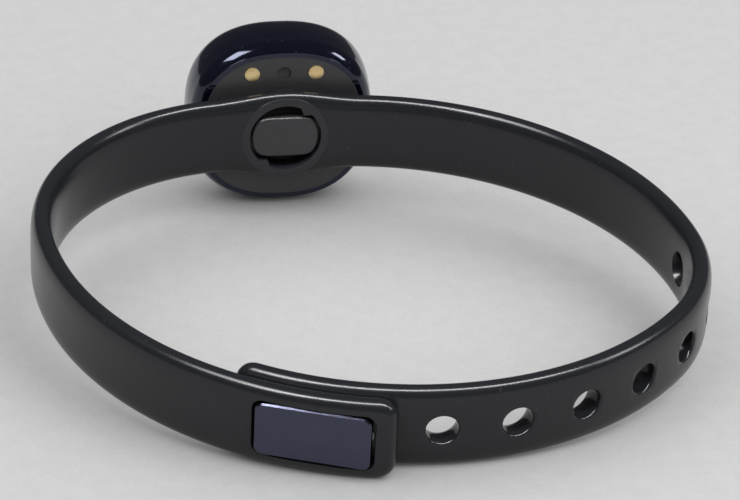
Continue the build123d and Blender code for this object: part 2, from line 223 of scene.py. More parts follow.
class Finish:
    def __init__(self, name, **fixed):
        self.material = bpy.data.materials.new(name)
        self.material.use_nodes = True
        self.tree = self.material.node_tree
        self.shader = self.tree.nodes["Principled BSDF"]
        for socket, value in fixed.items():
            self.shader.inputs[socket.replace("_", " ")].default_value = value
        self.place = self.node("ShaderNodeTexCoord", output="Object")

    def node(self, kind, settings=None, output=0, **sockets):
        made = self.tree.nodes.new(kind)
        for name, value in (settings or {}).items():
            if name == "stops":
                while len(made.color_ramp.elements) < len(value):
                    made.color_ramp.elements.new(0.5)
                for element, (position, colour) in zip(made.color_ramp.elements, value):
                    element.position = position
                    element.color = colour
            else:
                setattr(made, name, value)
        for name, value in sockets.items():
            plugIn(self.tree, made.inputs[name.replace("_", " ")], value)
        return Value(self.tree, made.outputs[output])

    def noise(self, size, detail=2.0, roughness=0.5, place=None):
        # size is that of one blotch, in millimetres
        return self.node(
            "ShaderNodeTexNoise",
            Vector=place or self.place,
            Scale=1 / (size * millimetre),
            Detail=detail,
            Roughness=roughness,
        )

    def stretched(self, lengthways, turn):
        # Object coordinates drawn out along one direction, for brushed or drawn surfaces
        return self.node(
            "ShaderNodeMapping", Vector=self.place, Rotation=turn, Scale=lengthways
        )

    def ramp(self, value, low, high, fromColour=(0, 0, 0, 1), toColour=(1, 1, 1, 1)):
        stops = [(low, fromColour), (high, toColour)]
        return self.node("ShaderNodeValToRGB", {"stops": stops}, Fac=value)

    def blendColours(self, share, first, second):
        mix = self.tree.nodes.new("ShaderNodeMix")
        mix.data_type = "RGBA"
        plugIn(self.tree, mix.inputs["Factor"], share)
        for socket, colour in zip([s for s in mix.inputs if s.type == "RGBA"], (first, second)):
            plugIn(self.tree, socket, colour)
        return Value(self.tree, [s for s in mix.outputs if s.type == "RGBA"][0])

    def bump(self, height, depth, strength=1.0, normal=None):
        # depth in millimetres
        more = {"Normal": normal} if normal else {}
        return self.node(
            "ShaderNodeBump", Height=height, Distance=depth * millimetre, Strength=strength, **more
        )

    def set(self, **sockets):
        for name, value in sockets.items():
            plugIn(self.tree, self.shader.inputs[name.replace("_", " ")], value)
        return self.material


def grey(tone, tint=(1, 1, 1)):
    return (tone * tint[0], tone * tint[1], tone * tint[2], 1)


rubberSkin = dict(
    ior=1.42, cloudSize=9.0, dark=0.88, pale=1.14,
    handledSize=2.2, handledRough=0.08, skinRough=0.05,
    lintSize=0.55, lintFrom=0.74, lintTo=0.80, lintTone=0.16, lintRough=0.12,
    waveDepth=0.05, waveStrength=0.25, skinDepth=0.012, skinStrength=0.35,
)


def elastomer(name, tone, tint, roughness, grain, dust):
    # moulded rubber: spark-eroded skin, faint flow clouds, a little lint
    look = rubberSkin
    finish = Finish(name, IOR=look["ior"])
    clouds = finish.noise(look["cloudSize"], 3.0)
    skin = finish.noise(grain, 3.0, 0.65)
    handled = finish.noise(look["handledSize"], 4.0, 0.6)
    lint = finish.ramp(finish.noise(look["lintSize"], 1.0), look["lintFrom"], look["lintTo"])
    base = finish.blendColours(
        clouds, grey(tone * look["dark"], tint), grey(tone * look["pale"], tint)
    )
    specks = finish.blendColours(lint * dust, base, grey(look["lintTone"]))
    rough = roughness - look["skinRough"] + look["handledRough"] * handled
    rough = rough + look["skinRough"] * skin + look["lintRough"] * lint * dust
    waves = finish.bump(clouds, look["waveDepth"], look["waveStrength"])
    normal = finish.bump(skin, look["skinDepth"], look["skinStrength"], waves)
    return finish.set(Base_Color=specks, Roughness=rough, Normal=normal)


plasticSkin = dict(
    ior=1.49, coatRoughness=0.06, cloudSize=5.0, dark=0.9, pale=1.12,
    skinRough=0.07, skinStrength=0.6,
    wearSize=1.3, wearFrom=0.55, wearTo=0.75, wearPolish=0.06,
)


def mouldedPlastic(name, tone, tint, roughness, grain, depth, coat=0.0):
    # fine moulded skin, polished in patches by handling
    look = plasticSkin
    finish = Finish(
        name, IOR=look["ior"], Coat_Weight=coat, Coat_Roughness=look["coatRoughness"]
    )
    skin = finish.noise(grain, 2.0, 0.6)
    clouds = finish.noise(look["cloudSize"], 2.0)
    wear = finish.ramp(finish.noise(look["wearSize"], 5.0, 0.7), look["wearFrom"], look["wearTo"])
    base = finish.blendColours(
        clouds, grey(tone * look["dark"], tint), grey(tone * look["pale"], tint)
    )
    rough = roughness + look["skinRough"] * skin - look["wearPolish"] * wear
    normal = finish.bump(skin, depth, look["skinStrength"])
    return finish.set(Base_Color=base, Roughness=rough, Normal=normal)


gloss = dict(
    ior=1.5, coat=0.35, coatRoughness=0.03, level=0.5, reflection=(0.60, 0.66, 1.0, 1),
    deep=(0.0010, 0.0012, 0.0036, 1), lighter=(0.0018, 0.0021, 0.0064, 1),
    scuffSize=2.6, scuffStretch=(1.0, 14.0, 3.0), scuffTurn=(0.35, 0.2, 0.6),
    scuffFrom=0.60, scuffTo=0.68,
    smearSize=4.0, speckSize=0.35, speckFrom=0.80, speckTo=0.86, speckTone=0.06, speckShare=0.25,
    roughness=0.07, smearRough=0.08, scuffRough=0.10, speckRough=0.25,
    rippleSize=3.0, rippleDepth=0.02, rippleStrength=0.15,
)


def glossShell():
    # polished injection-moulded shell with hairline scuffs and a few settled specks
    finish = Finish(
        "glossShell",
        IOR=gloss["ior"],
        Coat_Weight=gloss["coat"],
        Coat_Roughness=gloss["coatRoughness"],
        Specular_IOR_Level=gloss["level"],
        Specular_Tint=gloss["reflection"],
    )
    drawn = finish.stretched(gloss["scuffStretch"], gloss["scuffTurn"])
    scuffs = finish.noise(gloss["scuffSize"], 4.0, 0.7, drawn)
    hairlines = finish.ramp(scuffs, gloss["scuffFrom"], gloss["scuffTo"])
    smears = finish.noise(gloss["smearSize"], 3.0, 0.55)
    dots = finish.noise(gloss["speckSize"], 0.0)
    specks = finish.ramp(dots, gloss["speckFrom"], gloss["speckTo"])
    base = finish.blendColours(smears, gloss["deep"], gloss["lighter"])
    dusty = finish.blendColours(specks * gloss["speckShare"], base, grey(gloss["speckTone"]))
    rough = gloss["roughness"] + gloss["smearRough"] * smears
    rough = rough + gloss["scuffRough"] * hairlines + gloss["speckRough"] * specks
    ripples = finish.noise(gloss["rippleSize"], 1.0)
    normal = finish.bump(ripples, gloss["rippleDepth"], gloss["rippleStrength"])
    return finish.set(Base_Color=dusty, Roughness=rough, Normal=normal)


anodised = dict(
    deep=(0.062, 0.064, 0.096, 1), lighter=(0.078, 0.081, 0.118, 1), bare=(0.34, 0.34, 0.44, 1),
    blastSize=0.07, cloudSize=3.0, rubSize=0.5, rubFrom=0.62, rubTo=0.78, rubShare=0.06,
    roughness=0.15, blastRough=0.08, rubPolish=0.03, blastDepth=0.008, blastStrength=0.5,
)


def claspMetal():
    # blue-black anodised plate, finely blasted, faintly brighter where it has rubbed
    finish = Finish("claspMetal", Metallic=1.0)
    blast = finish.noise(anodised["blastSize"], 2.0, 0.7)
    clouds = finish.noise(anodised["cloudSize"], 3.0)
    handled = finish.noise(anodised["rubSize"], 5.0, 0.7)
    rubbed = finish.ramp(handled, anodised["rubFrom"], anodised["rubTo"])
    base = finish.blendColours(clouds, anodised["deep"], anodised["lighter"])
    worn = finish.blendColours(rubbed * anodised["rubShare"], base, anodised["bare"])
    rough = anodised["roughness"] + anodised["blastRough"] * blast - anodised["rubPolish"] * rubbed
    normal = finish.bump(blast, anodised["blastDepth"], anodised["blastStrength"])
    return finish.set(Base_Color=worn, Roughness=rough, Normal=normal)


metalSkin = dict(
    lineSize=0.12, lineRough=0.12, lineDepth=0.006, lineStrength=0.4, stainSize=1.1, stainRough=0.10
)


def bareMetal(name, colour, dull, roughness, brushed):
    # brushed or drawn metal with a slight stain
    look = metalSkin
    finish = Finish(name, Metallic=1.0)
    lines = finish.noise(look["lineSize"], 2.0, 0.6, finish.stretched(brushed, (0, 0, 0)))
    stain = finish.noise(look["stainSize"], 4.0, 0.6)
    base = finish.blendColours(stain, colour, dull)
    rough = roughness + look["lineRough"] * lines + look["stainRough"] * stain
    normal = finish.bump(lines, look["lineDepth"], look["lineStrength"])
    return finish.set(Base_Color=base, Roughness=rough, Normal=normal)


board = dict(
    ior=1.5, coat=0.4, coatRoughness=0.15, weaveSize=0.5, weaveGap=0.04, cloudSize=3.0,
    deep=(0.008, 0.075, 0.030, 1), lighter=(0.014, 0.12, 0.05, 1), track=(0.02, 0.20, 0.09, 1),
    trackShare=0.5, roughness=0.28, cloudRough=0.1, weaveDepth=0.02, weaveStrength=0.4,
)


def boardLaminate():
    # green mask over a woven laminate, its tracks a little paler
    finish = Finish(
        "boardLaminate",
        IOR=board["ior"],
        Coat_Weight=board["coat"],
        Coat_Roughness=board["coatRoughness"],
    )
    weave = finish.node(
        "ShaderNodeTexBrick",
        {"offset": 0.5},
        output="Fac",
        Vector=finish.place,
        Scale=1 / (board["weaveSize"] * millimetre),
        Mortar_Size=board["weaveGap"],
    )
    clouds = finish.noise(board["cloudSize"], 3.0)
    base = finish.blendColours(clouds, board["deep"], board["lighter"])
    tracks = finish.blendColours(weave * board["trackShare"], base, board["track"])
    rough = board["roughness"] + board["cloudRough"] * clouds
    normal = finish.bump(weave, board["weaveDepth"], board["weaveStrength"])
    return finish.set(Base_Color=tracks, Roughness=rough, Normal=normal)


strapRubber = elastomer("strapRubber", 0.0058, (0.93, 0.98, 1.18), 0.20, 0.10, 0.05)
insertPlastic = mouldedPlastic("insertPlastic", 0.0070, (0.92, 0.97, 1.25), 0.28, 0.09, 0.010)
keyPlastic = mouldedPlastic("keyPlastic", 0.015, (0.97, 1.0, 1.08), 0.30, 0.08, 0.012)
coverPlastic = mouldedPlastic("coverPlastic", 0.040, (1.0, 1.0, 1.06), 0.32, 0.06, 0.008)
shellGloss = glossShell()
platedClasp = claspMetal()
steel = bareMetal("steel", (0.62, 0.62, 0.63, 1), (0.42, 0.42, 0.44, 1), 0.22, (1, 1, 9))
contactGold = bareMetal(
    "contactGold", (1.0, 0.80, 0.46, 1), (0.93, 0.68, 0.32, 1), 0.28, (1, 1, 1)
)
batteryFoil = bareMetal(
    "batteryFoil", (0.74, 0.75, 0.78, 1), (0.55, 0.56, 0.6, 1), 0.35, (1, 7, 1)
)
sealRubber = elastomer("sealRubber", 0.012, (1, 1, 1), 0.55, 0.12, 0.3)
foamPad = elastomer("foamPad", 0.05, (1, 1, 1.02), 0.8, 0.25, 0.5)
framePlastic = mouldedPlastic("framePlastic", 0.035, (1, 1, 1.02), 0.5, 0.15, 0.02)
chipEpoxy = mouldedPlastic("chipEpoxy", 0.016, (1, 1, 1), 0.5, 0.05, 0.01)
ceramicPart = mouldedPlastic("ceramicPart", 0.42, (1.0, 0.9, 0.75), 0.5, 0.1, 0.01)
ledLens = mouldedPlastic("ledLens", 0.75, (1.0, 1.0, 0.88), 0.15, 0.2, 0.004, 0.5)
lightPlastic = mouldedPlastic("lightPlastic", 0.72, (0.97, 1.0, 1.02), 0.3, 0.2, 0.01, 0.3)
laminate = boardLaminate()

slotFinishes = {
    "strap_elastomer": strapRubber,
    "insert_plastic": insertPlastic,
    "clasp_metal": platedClasp,
    "steel": steel,
    "key_plastic": keyPlastic,
    "shell_gloss": shellGloss,
    "cover_matt": coverPlastic,
    "contact_gold": contactGold,
    "seal_rubber": sealRubber,
    "frame_plastic": framePlastic,
    "board_laminate": laminate,
    "chip_epoxy": chipEpoxy,
    "ceramic": ceramicPart,
    "battery_foil": batteryFoil,
    "foam": foamPad,
    "led_lens": ledLens,
    "light_plastic": lightPlastic,
}
for subpart in frame["record"]["subparts"]:
    node = frame["nodes"][subpart["node"]]
    node.data.materials.clear()
    node.data.materials.append(slotFinishes[subpart["material_slot"]])
print("materials made")

# the strap is modelled straight along x, then bent round its route

strap = dict(
    width=9.0,
    thickness=2.4,
    faceRoundness=2.2,   # powers of the section's outline
    edgeRoundness=5.0,
    around=56,
    step=0.62,
    tipCorner=2.1,
    tipRoll=1.1,
    tipSteps=11,
    swell=0.85,
    swellReach=8.5,
    flatHalf=5.0,
    sideRadius=34.0,
    sideSweep=86.0,
    cornerRadius=19.0,
    cornerSweep=45.0,
    frontRadius=34.5,
    tailAngle=-125.3,
    layerGap=0.12,
    endMargin=3.45,
    splitAngle=-155.0,
    bendStart=-148.0,
    bendEnd=-132.0,
)
holes = dict(
    radius=1.58,
    pitch=7.5,
    count=9,
    tailMargin=5.58,
    lip=0.32,
    lipSteps=6,
    flare=0.34,         # wider by this much at the inner face
    flareDepths=(1.02, 0.9, 0.75, 0.55, 0.3, 0.05),
    around=48,
)


def polar(radius, angle):
    return Vector((radius * math.cos(math.radians(angle)), radius * math.sin(math.radians(angle))))


sideEnd = 90 - strap["sideSweep"]
cornerEnd = sideEnd - strap["cornerSweep"]
sideCentre = Vector((strap["flatHalf"], -strap["sideRadius"]))
cornerCentre = sideCentre + polar(strap["sideRadius"] - strap["cornerRadius"], sideEnd)
frontCentre = cornerCentre + polar(strap["cornerRadius"] - strap["frontRadius"], cornerEnd)
outerRadius = strap["frontRadius"] + strap["thickness"] + strap["layerGap"]
bendReach = frontCentre.x + strap["flatHalf"]
bendRadius = outerRadius**2 - bendReach**2 - frontCentre.y**2
bendRadius /= 2 * (frontCentre.y + outerRadius)
bendCentre = Vector((-strap["flatHalf"], -bendRadius))
joinLine = bendCentre - frontCentre
joinAngle = math.degrees(math.atan2(joinLine.y, joinLine.x)) % 360


def holeAngle(number):
    walked = holes["tailMargin"] + number * holes["pitch"]
    return strap["tailAngle"] + math.degrees(walked / strap["frontRadius"])


endAngle = holeAngle(1) + math.degrees(strap["endMargin"] / outerRadius) + 360

# each run of the route: its length along the strap, centre, radius and start angle
runs = []
walked = 0.0
for centre, radius, start, sweep in (
    (frontCentre, strap["frontRadius"], strap["tailAngle"], cornerEnd - strap["tailAngle"]),
    (cornerCentre, strap["cornerRadius"], cornerEnd, strap["cornerSweep"]),
    (sideCentre, strap["sideRadius"], sideEnd, strap["sideSweep"]),
    (None, None, None, 2 * strap["flatHalf"]),
    (bendCentre, bendRadius, 90, joinAngle - 90),
    (frontCentre, outerRadius, joinAngle, endAngle - joinAngle),
):
    runs.append((walked, centre, radius, start))
    walked += math.radians(sweep) * radius if centre else sweep
strapLength = walked
backStart = runs[3][0]
outerStart = runs[5][0]


def outerLength(angle):
    return outerStart + math.radians(angle % 360 - joinAngle) * outerRadius


def bentPlace(straight):
    # a point of the straight strap, carried onto the closed band
    ahead, centre, radius, start = [run for run in runs if run[0] <= max(straight.x, 0)][-1]
    ahead = straight.x - ahead
    if centre is None:
        return Vector((strap["flatHalf"] - ahead, straight.y, straight.z))
    place = centre + polar(radius + straight.y, start + math.degrees(ahead / radius))
    return Vector((place.x, place.y, straight.z))


def strapStations():
    corner = strap["tipCorner"]
    turns = [math.pi / 2 * step / strap["tipSteps"] for step in range(strap["tipSteps"])]
    tip = [corner * (1 - math.cos(turn)) for turn in turns]
    count = round((strapLength - 2 * corner) / strap["step"])
    middle = [corner + (strapLength - 2 * corner) * n / count for n in range(count + 1)]
    return tip + middle + [strapLength - place for place in reversed(tip)]


def straightStrap():
    stations = strapStations()
    shape = unitTube(len(stations), strap["around"])
    backMiddleLength = backStart + strap["flatHalf"]

    def rule(level, angle):
        length = stations[level]
        fromEnd = min(length, strapLength - length)
        halfWidth = strap["width"] / 2
        halfThickness = strap["thickness"] / 2
        fromMiddle = abs(length - backMiddleLength) / strap["swellReach"]
        if fromMiddle < 1:
            halfWidth += strap["swell"] * math.cos(fromMiddle * math.pi / 2) ** 2
        if fromEnd < strap["tipCorner"]:
            inside = strap["tipCorner"] - fromEnd
            halfWidth += math.sqrt(max(strap["tipCorner"] ** 2 - inside**2, 0)) - strap["tipCorner"]
        if fromEnd < strap["tipRoll"]:
            halfThickness *= math.sqrt(max(1 - (1 - fromEnd / strap["tipRoll"]) ** 2, 0))
        out = halfThickness * power(math.cos(angle), 2 / strap["faceRoundness"])
        high = halfWidth * power(math.sin(angle), 2 / strap["edgeRoundness"])
        return Vector((length, out, high))

    placeTube(shape, rule)
    return shape


def lippedProfile(size, lip, steps, near, far):
    # sizes along a cutter's depth that leave soft lips at both faces
    above = 0.012
    turns = [math.pi / 2 * (1 - step / steps) for step in range(steps + 1)]
    flare = [(lip * (1 - math.sin(turn)), size + lip - lip * math.cos(turn)) for turn in turns]
    start = [(near - 1, size + lip), (near - above, size + lip)]
    start += [(near - above + depth, width) for depth, width in flare[1:]]
    end = [(far + above - depth, width) for depth, width in reversed(flare[1:])]
    end += [(far + above, size + lip), (far + 1, size + lip)]
    return start, end


def addTool(tools, shape):
    spare = bpy.data.meshes.new("spare")
    shape.to_mesh(spare)
    shape.free()
    tools.from_mesh(spare)
    bpy.data.meshes.remove(spare)


seat = dict(radius=4.94, lip=0.13, steps=4, around=144)
window = dict(
    length=11.86, width=6.3, corner=1.05, depth=1.72, lip=0.16, lipSteps=4, shift=0.6, around=64
)
halfThickness = strap["thickness"] / 2

tools = bmesh.new()
lipped = lippedProfile(
    holes["radius"], holes["lip"], holes["lipSteps"], -halfThickness, halfThickness
)[1]
flared = [(-halfThickness - 1, holes["radius"] + holes["flare"])]
flared += [
    (-halfThickness * share, holes["radius"] + holes["flare"] * share**2)
    for share in holes["flareDepths"]
]
for number in range(holes["count"]):
    tool = turned(flared + lipped, roundOutline, holes["around"])
    alongStrap = holes["tailMargin"] + number * holes["pitch"]
    bmesh.ops.translate(tool, verts=tool.verts, vec=(alongStrap, 0, 0))
    addTool(tools, tool)
start, end = lippedProfile(
    seat["radius"], seat["lip"], seat["steps"], -halfThickness, halfThickness
)
tool = turned(start + end, roundOutline, seat["around"])
bmesh.ops.translate(tool, verts=tool.verts, vec=(backStart + strap["flatHalf"], 0, 0))
addTool(tools, tool)

# the window is open only on the outer face
plateAngle = (holeAngle(0) + holeAngle(1)) / 2 - math.degrees(window["shift"] / outerRadius)
windowLength = outerLength(plateAngle)


def windowOutline(size, angle):
    corner = window["corner"] + size
    side = window["length"] / 2 - window["corner"]
    height = window["width"] / 2 - window["corner"]
    side = math.copysign(side, math.cos(angle)) + corner * math.cos(angle)
    return side, math.copysign(height, math.sin(angle)) + corner * math.sin(angle)


lipped = lippedProfile(0.0, window["lip"], window["lipSteps"], -halfThickness, halfThickness)[1]
tool = turned([(halfThickness - window["depth"], 0.0)] + lipped, windowOutline, window["around"])
slices = round(window["length"] / strap["step"])
for number in range(1, slices):
    cut = window["length"] * (number / slices - 0.5)
    geometry = tool.verts[:] + tool.edges[:] + tool.faces[:]
    bmesh.ops.bisect_plane(
        tool, geom=geometry, plane_co=(cut, 0, 0), plane_no=(1, 0, 0), dist=cutDistance
    )
bmesh.ops.translate(tool, verts=tool.verts, vec=(windowLength, 0, 0))
addTool(tools, tool)

strapWhole = makePiece(straightStrap(), "strapWhole")
combine(strapWhole, makePiece(tools, "strapTools"), "DIFFERENCE")
print("strap cut", len(strapWhole.data.polygons))


def strapStretch(name, before):
    # one side of the line where the clasp end begins to lift, bent onto the route
    shape = bmesh.new()
    shape.from_mesh(strapWhole.data)
    geometry = shape.verts[:] + shape.edges[:] + shape.faces[:]
    line = (outerLength(strap["splitAngle"]), 0, 0)
    bmesh.ops.bisect_plane(
        shape,
        geom=geometry,
        plane_co=line,
        plane_no=(1 if before else -1, 0, 0),
        dist=seamDistance,
        clear_outer=True,
    )
    closeEnds(shape)
    for vert in shape.verts:
        vert.co = bentPlace(vert.co)
    bmesh.ops.recalc_face_normals(shape, faces=shape.faces)
    return makePiece(shape, name, bandPlace)


strapMain = strapStretch("strapMain", True)
strapClasp = strapStretch("strapClasp", False)
bpy.data.objects.remove(strapWhole)
finishPiece(strapMain, strapRubber, "band", ["band"])
finishPiece(strapClasp, strapRubber, None, ["clasp_strap_end"])


def onOuterLayer(angle):
    place = frontCentre + polar(outerRadius, angle)
    return bandPlace @ Vector((place.x, place.y, 0))


onOuterLayer(strap["bendStart"])
onOuterLayer(strap["bendEnd"])
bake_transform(strapClasp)
print("strap bent")

# clasp plate, in the window of the clasp end

plate = dict(
    length=11.5,
    width=6.0,
    thickness=0.8,
    sink=0.1,           # from the strap's crown down to its face
    corner=0.85,
    cornerSteps=5,
    edge=0.15,
    edgeSteps=1,
)
shape = bmesh.new()
bmesh.ops.create_cube(shape, size=1.0)
bmesh.ops.scale(shape, verts=shape.verts, vec=(plate["length"], plate["thickness"], plate["width"]))
upright = [edge for edge in shape.edges if edge.verts[0].co.xz == edge.verts[1].co.xz]
bmesh.ops.bevel(
    shape,
    geom=upright,
    offset=plate["corner"],
    affect="EDGES",
    segments=plate["cornerSteps"],
    profile=0.5,
    material=-1,
)
face = max(shape.faces, key=lambda item: item.calc_center_median().y)
bmesh.ops.bevel(
    shape,
    geom=list(face.edges),
    offset=plate["edge"],
    affect="EDGES",
    segments=plate["edgeSteps"],
    profile=0.5,
    material=-1,
)
direction = polar(1, plateAngle)
crown = frontCentre + polar(outerRadius + halfThickness, plateAngle)
middle = crown - direction * (plate["sink"] + plate["thickness"] / 2)
tangent = Vector((-direction.y, direction.x))
plateTurn = Matrix(((tangent.x, direction.x, 0), (tangent.y, direction.y, 0), (0, 0, 1))).to_4x4()
platePlace = Matrix.Translation((middle.x, middle.y, 0)) @ plateTurn
claspPlate = makePiece(shape, "claspPlate", bandPlace @ platePlace)
claspPlate.data.flip_normals()
finishPiece(claspPlate, platedClasp, "clasp_end", ["clasp_plate"])
print("clasp plate made")

# bayonet insert, moulded into the strap, and the key that turns in it

insert = dict(
    radius=4.99,        # a little into the strap, so that no gap shows
    face=0.07,          # its face lies this far below the strap's
    edge=0.03,
    recess=4.05,
    barHalf=2.82,
    turn=70.0,
    land=0.03,
    post=1.98,
    overlap=0.2,        # of the way out with the recess above it
    around=144,
    edgeSteps=4,
    soften=0.12,
    softenSteps=2,
    softenFrom=50.0,
)
key = dict(
    radius=3.78,
    width=5.0,
    roundness=11,
    face=-1.05,
    back=-0.05,
    edge=0.34,
    edgeSteps=6,
    rings=(0.4999, 0.4, 0.2),     # sizes of the face's rings, as shares of its width
    backStep=0.1,
    around=160,
    post=1.9,
    postStart=-0.35,
    postEnd=1.47,
    spigot=1.2,
    spigotEnd=2.7,
    postAround=64,
)


tiny = 0.001         # keeps a division away from nought


def recessOutline(size, angle):
    # the room that the key's bar sweeps from locked to free
    degrees = -math.degrees(angle) % 180
    off = max(0.0, min(degrees - insert["turn"], 180 - degrees))
    wall = insert["barHalf"] / max(math.sin(math.radians(min(off, 90))), tiny)
    return roundOutline(min(insert["recess"], wall), angle)


def wayOutOutline(size, angle):
    off = math.radians(-math.degrees(angle) % 180 - insert["turn"])
    wall = insert["barHalf"] / max(abs(math.sin(off)), tiny)
    return roundOutline(max(min(insert["recess"], wall), insert["post"]), angle)


front = -halfThickness + insert["face"]
back = halfThickness - insert["face"]
edge = insert["edge"]
profile = [(front, 0.0), (front, insert["radius"] - edge)]
centre = (front + edge, insert["radius"] - edge)
profile += arcSteps(centre, edge, 180, -90, insert["edgeSteps"])[1:]
profile += [(back, insert["radius"]), (back, 0.0)]
bayonetInsert = makePiece(turned(profile, roundOutline, insert["around"]), "bayonetInsert")
depths = [(-2 * halfThickness, 1.0), (insert["land"], 1.0)]
recess = turned(depths, recessOutline, insert["around"])
combine(bayonetInsert, makePiece(recess, "recess"), "DIFFERENCE")
depths = [(insert["land"] - insert["overlap"], 1.0), (2 * halfThickness, 1.0)]
wayOut = turned(depths, wayOutOutline, insert["around"])
combine(bayonetInsert, makePiece(wayOut, "wayOut"), "DIFFERENCE")
soften = bayonetInsert.modifiers.new("soften", "BEVEL")
soften.width = insert["soften"]
soften.segments = insert["softenSteps"]
soften.limit_method = "ANGLE"
soften.angle_limit = math.radians(insert["softenFrom"])
applyModifiers(bayonetInsert)
bayonetInsert.data.transform(bandPlace)
finishPiece(bayonetInsert, insertPlastic, "band", ["bayonet_insert"])


def keyOutline(inset, angle):
    # a bar cut from a round disc, its corners rounded off; sizes are drawn in from the outline
    ends = (key["radius"] - inset) ** -key["roundness"]
    sides = (abs(math.sin(angle)) / (key["width"] / 2 - inset)) ** key["roundness"]
    return roundOutline((ends + sides) ** (-1 / key["roundness"]), angle)


edge = key["edge"]
start = (key["face"] + edge, edge)
step = key["backStep"]
profile = [(key["face"], key["width"] * share) for share in key["rings"]]
profile += arcSteps(start, edge, 180, 90, key["edgeSteps"])
profile += [(key["back"] - step, 0.0), (key["back"], step)]
profile += [(key["back"], key["width"] * key["rings"][0])]
bayonetKey = makePiece(turned(profile, keyOutline, key["around"]), "bayonetKey")
profile = [(key["postStart"], 0.0), (key["postStart"], key["post"]), (key["postEnd"], key["post"])]
profile += [(key["postEnd"], key["spigot"]), (key["spigotEnd"], key["spigot"])]
profile += [(key["spigotEnd"], 0.0)]
post = makePiece(turned(profile, roundOutline, key["postAround"]), "post")
combine(bayonetKey, post, "UNION")
bayonetKey.data.transform(bandPlace)
finishPiece(bayonetKey, keyPlastic, "tracker", ["bayonet_key"])
print("bayonet made")

# tracker's shell and rear cover

shell = dict(
    half=10.4,
    roundness=2.45,
    rim=1.55,
    front=9.85,
    rimEdge=0.10,
    seat=9.23,
    ledge=3.06,
    rearRadius=2.1,
    stretch=1.02,       # wider than it is tall
    waist=0.22,         # the sides draw in by this much towards the rear rim
    widest=6.0,
    frontRadius=3.3,
    dome=0.06,
    cavity=8.6,
    wall=1.1,
    cavityRadius=2.0,
    cavitySteps=5,
    rimSteps=4,
    rearSteps=10,
    sideSteps=6,
    frontSteps=14,
    domeSteps=6,
    around=160,
)
cover = dict(
    half=9.15,
    face=1.5,
    back=2.7,
    bevel=0.42,
    bevelDepth=0.34,
    edge=0.07,
    contactSpacing=7.2,
    contactHeight=6.8,
    contactSeat=0.88,
    contactDepth=0.28,
    dimple=0.75,
    dimpleDepth=0.4,
    dimpleRise=0.12,    # from the dimple's floor up to where its wall turns in
    floorRound=0.06,
    floorShare=0.9,
    lip=0.07,
    lipStart=200,       # the lip's arc, in degrees
    lipSweep=70,
    lipSteps=4,
    above=0.005,
    ease=0.03,          # between the bevel and the face
    faceRings=(0.05, 0.15, 0.6),
    spigot=1.23,
    crease=14,
    around=48,
)


def shellOutline(size, angle):
    share = 2 / shell["roundness"]
    side = size * shell["stretch"] * power(math.cos(angle), share)
    return side, size * power(math.sin(angle), share)


def shellProfile():
    inner = shell["front"] - shell["wall"]
    cavityRadius = shell["cavityRadius"]
    corner = (inner - cavityRadius, shell["cavity"] - cavityRadius)
    profile = [(inner, 0.0), (inner, corner[1])]
    profile += arcSteps(corner, cavityRadius, 0, 90, shell["cavitySteps"])[1:]
    profile += [(shell["ledge"], shell["cavity"]), (shell["ledge"], shell["seat"])]
    rimEdge = shell["rimEdge"]
    corner = (shell["rim"] + rimEdge, shell["seat"] + rimEdge)
    profile += arcSteps(corner, rimEdge, -90, -90, shell["rimSteps"])
    rear = shell["rearRadius"]
    side = shell["half"] - shell["waist"]
    rearEnd = shell["rim"] + rear
    profile += arcSteps((rearEnd, side - rear), rear, 180, -90, shell["rearSteps"])
    for step in range(1, shell["sideSteps"] + 1):
        depth = rearEnd + (shell["widest"] - rearEnd) * step / shell["sideSteps"]
        off = (shell["widest"] - depth) / (shell["widest"] - rearEnd)
        profile.append((depth, shell["half"] - shell["waist"] * off**2))
    frontRadius = shell["frontRadius"]
    flat = shell["half"] - frontRadius
    corner = (shell["front"] - shell["dome"] - frontRadius, flat)
    profile += arcSteps(corner, frontRadius, 90, -90, shell["frontSteps"])
    for step in range(1, shell["domeSteps"] + 1):
        size = flat * (1 - step / shell["domeSteps"])
        profile.append((shell["front"] - shell["dome"] * (size / flat) ** 2, size))
    return profile


shape = turned(shellProfile(), shellOutline, shell["around"])
topShell = makePiece(shape, "topShell", bandPlace)
finishPiece(topShell, shellGloss, "tracker", ["top_shell"])

edge = cover["edge"]
half = cover["half"]
back = cover["back"]
face = cover["face"]
ease = cover["ease"]
bevelEnd = face + cover["bevelDepth"]
inside = half - cover["bevel"]
profile = [(back, 0.0), (back, half - edge), (back - edge, half), (bevelEnd + edge, half)]
profile += [(bevelEnd, half - edge / 2), (face + ease, inside + ease)]
profile += [(face, inside - ring) for ring in cover["faceRings"]] + [(face, 0.0)]
rearCover = makePiece(turned(profile, shellOutline, shell["around"]), "rearCover")
tools = bmesh.new()
lip = cover["lip"]
turn = cover["floorRound"]
seatSizes = (cover["contactSeat"], cover["contactDepth"], cover["contactDepth"])
dimpleSizes = (cover["dimple"], cover["dimpleDepth"], cover["dimpleDepth"] - cover["dimpleRise"])
for side, sizes in ((-1, seatSizes), (0, dimpleSizes), (1, seatSizes)):
    size, deep, floor = sizes
    profile = [(face - 1, size + lip), (face - cover["above"], size + lip)]
    centre = (face + lip, size + lip)
    profile += arcSteps(centre, lip, cover["lipStart"], cover["lipSweep"], cover["lipSteps"])
    profile += [(face + floor, size), (face + floor + turn, size * cover["floorShare"])]
    profile += [(face + deep + turn, 0.0)]
    tool = turned(profile, roundOutline, cover["around"])
    across = side * cover["contactSpacing"] / 2
    bmesh.ops.translate(tool, verts=tool.verts, vec=(across, 0, cover["contactHeight"]))
    addTool(tools, tool)
tool = turned([(0, cover["spigot"]), (2 * back, cover["spigot"])], roundOutline, cover["around"])
addTool(tools, tool)
combine(rearCover, makePiece(tools, "coverTools"), "DIFFERENCE")
rearCover.data.transform(bandPlace)
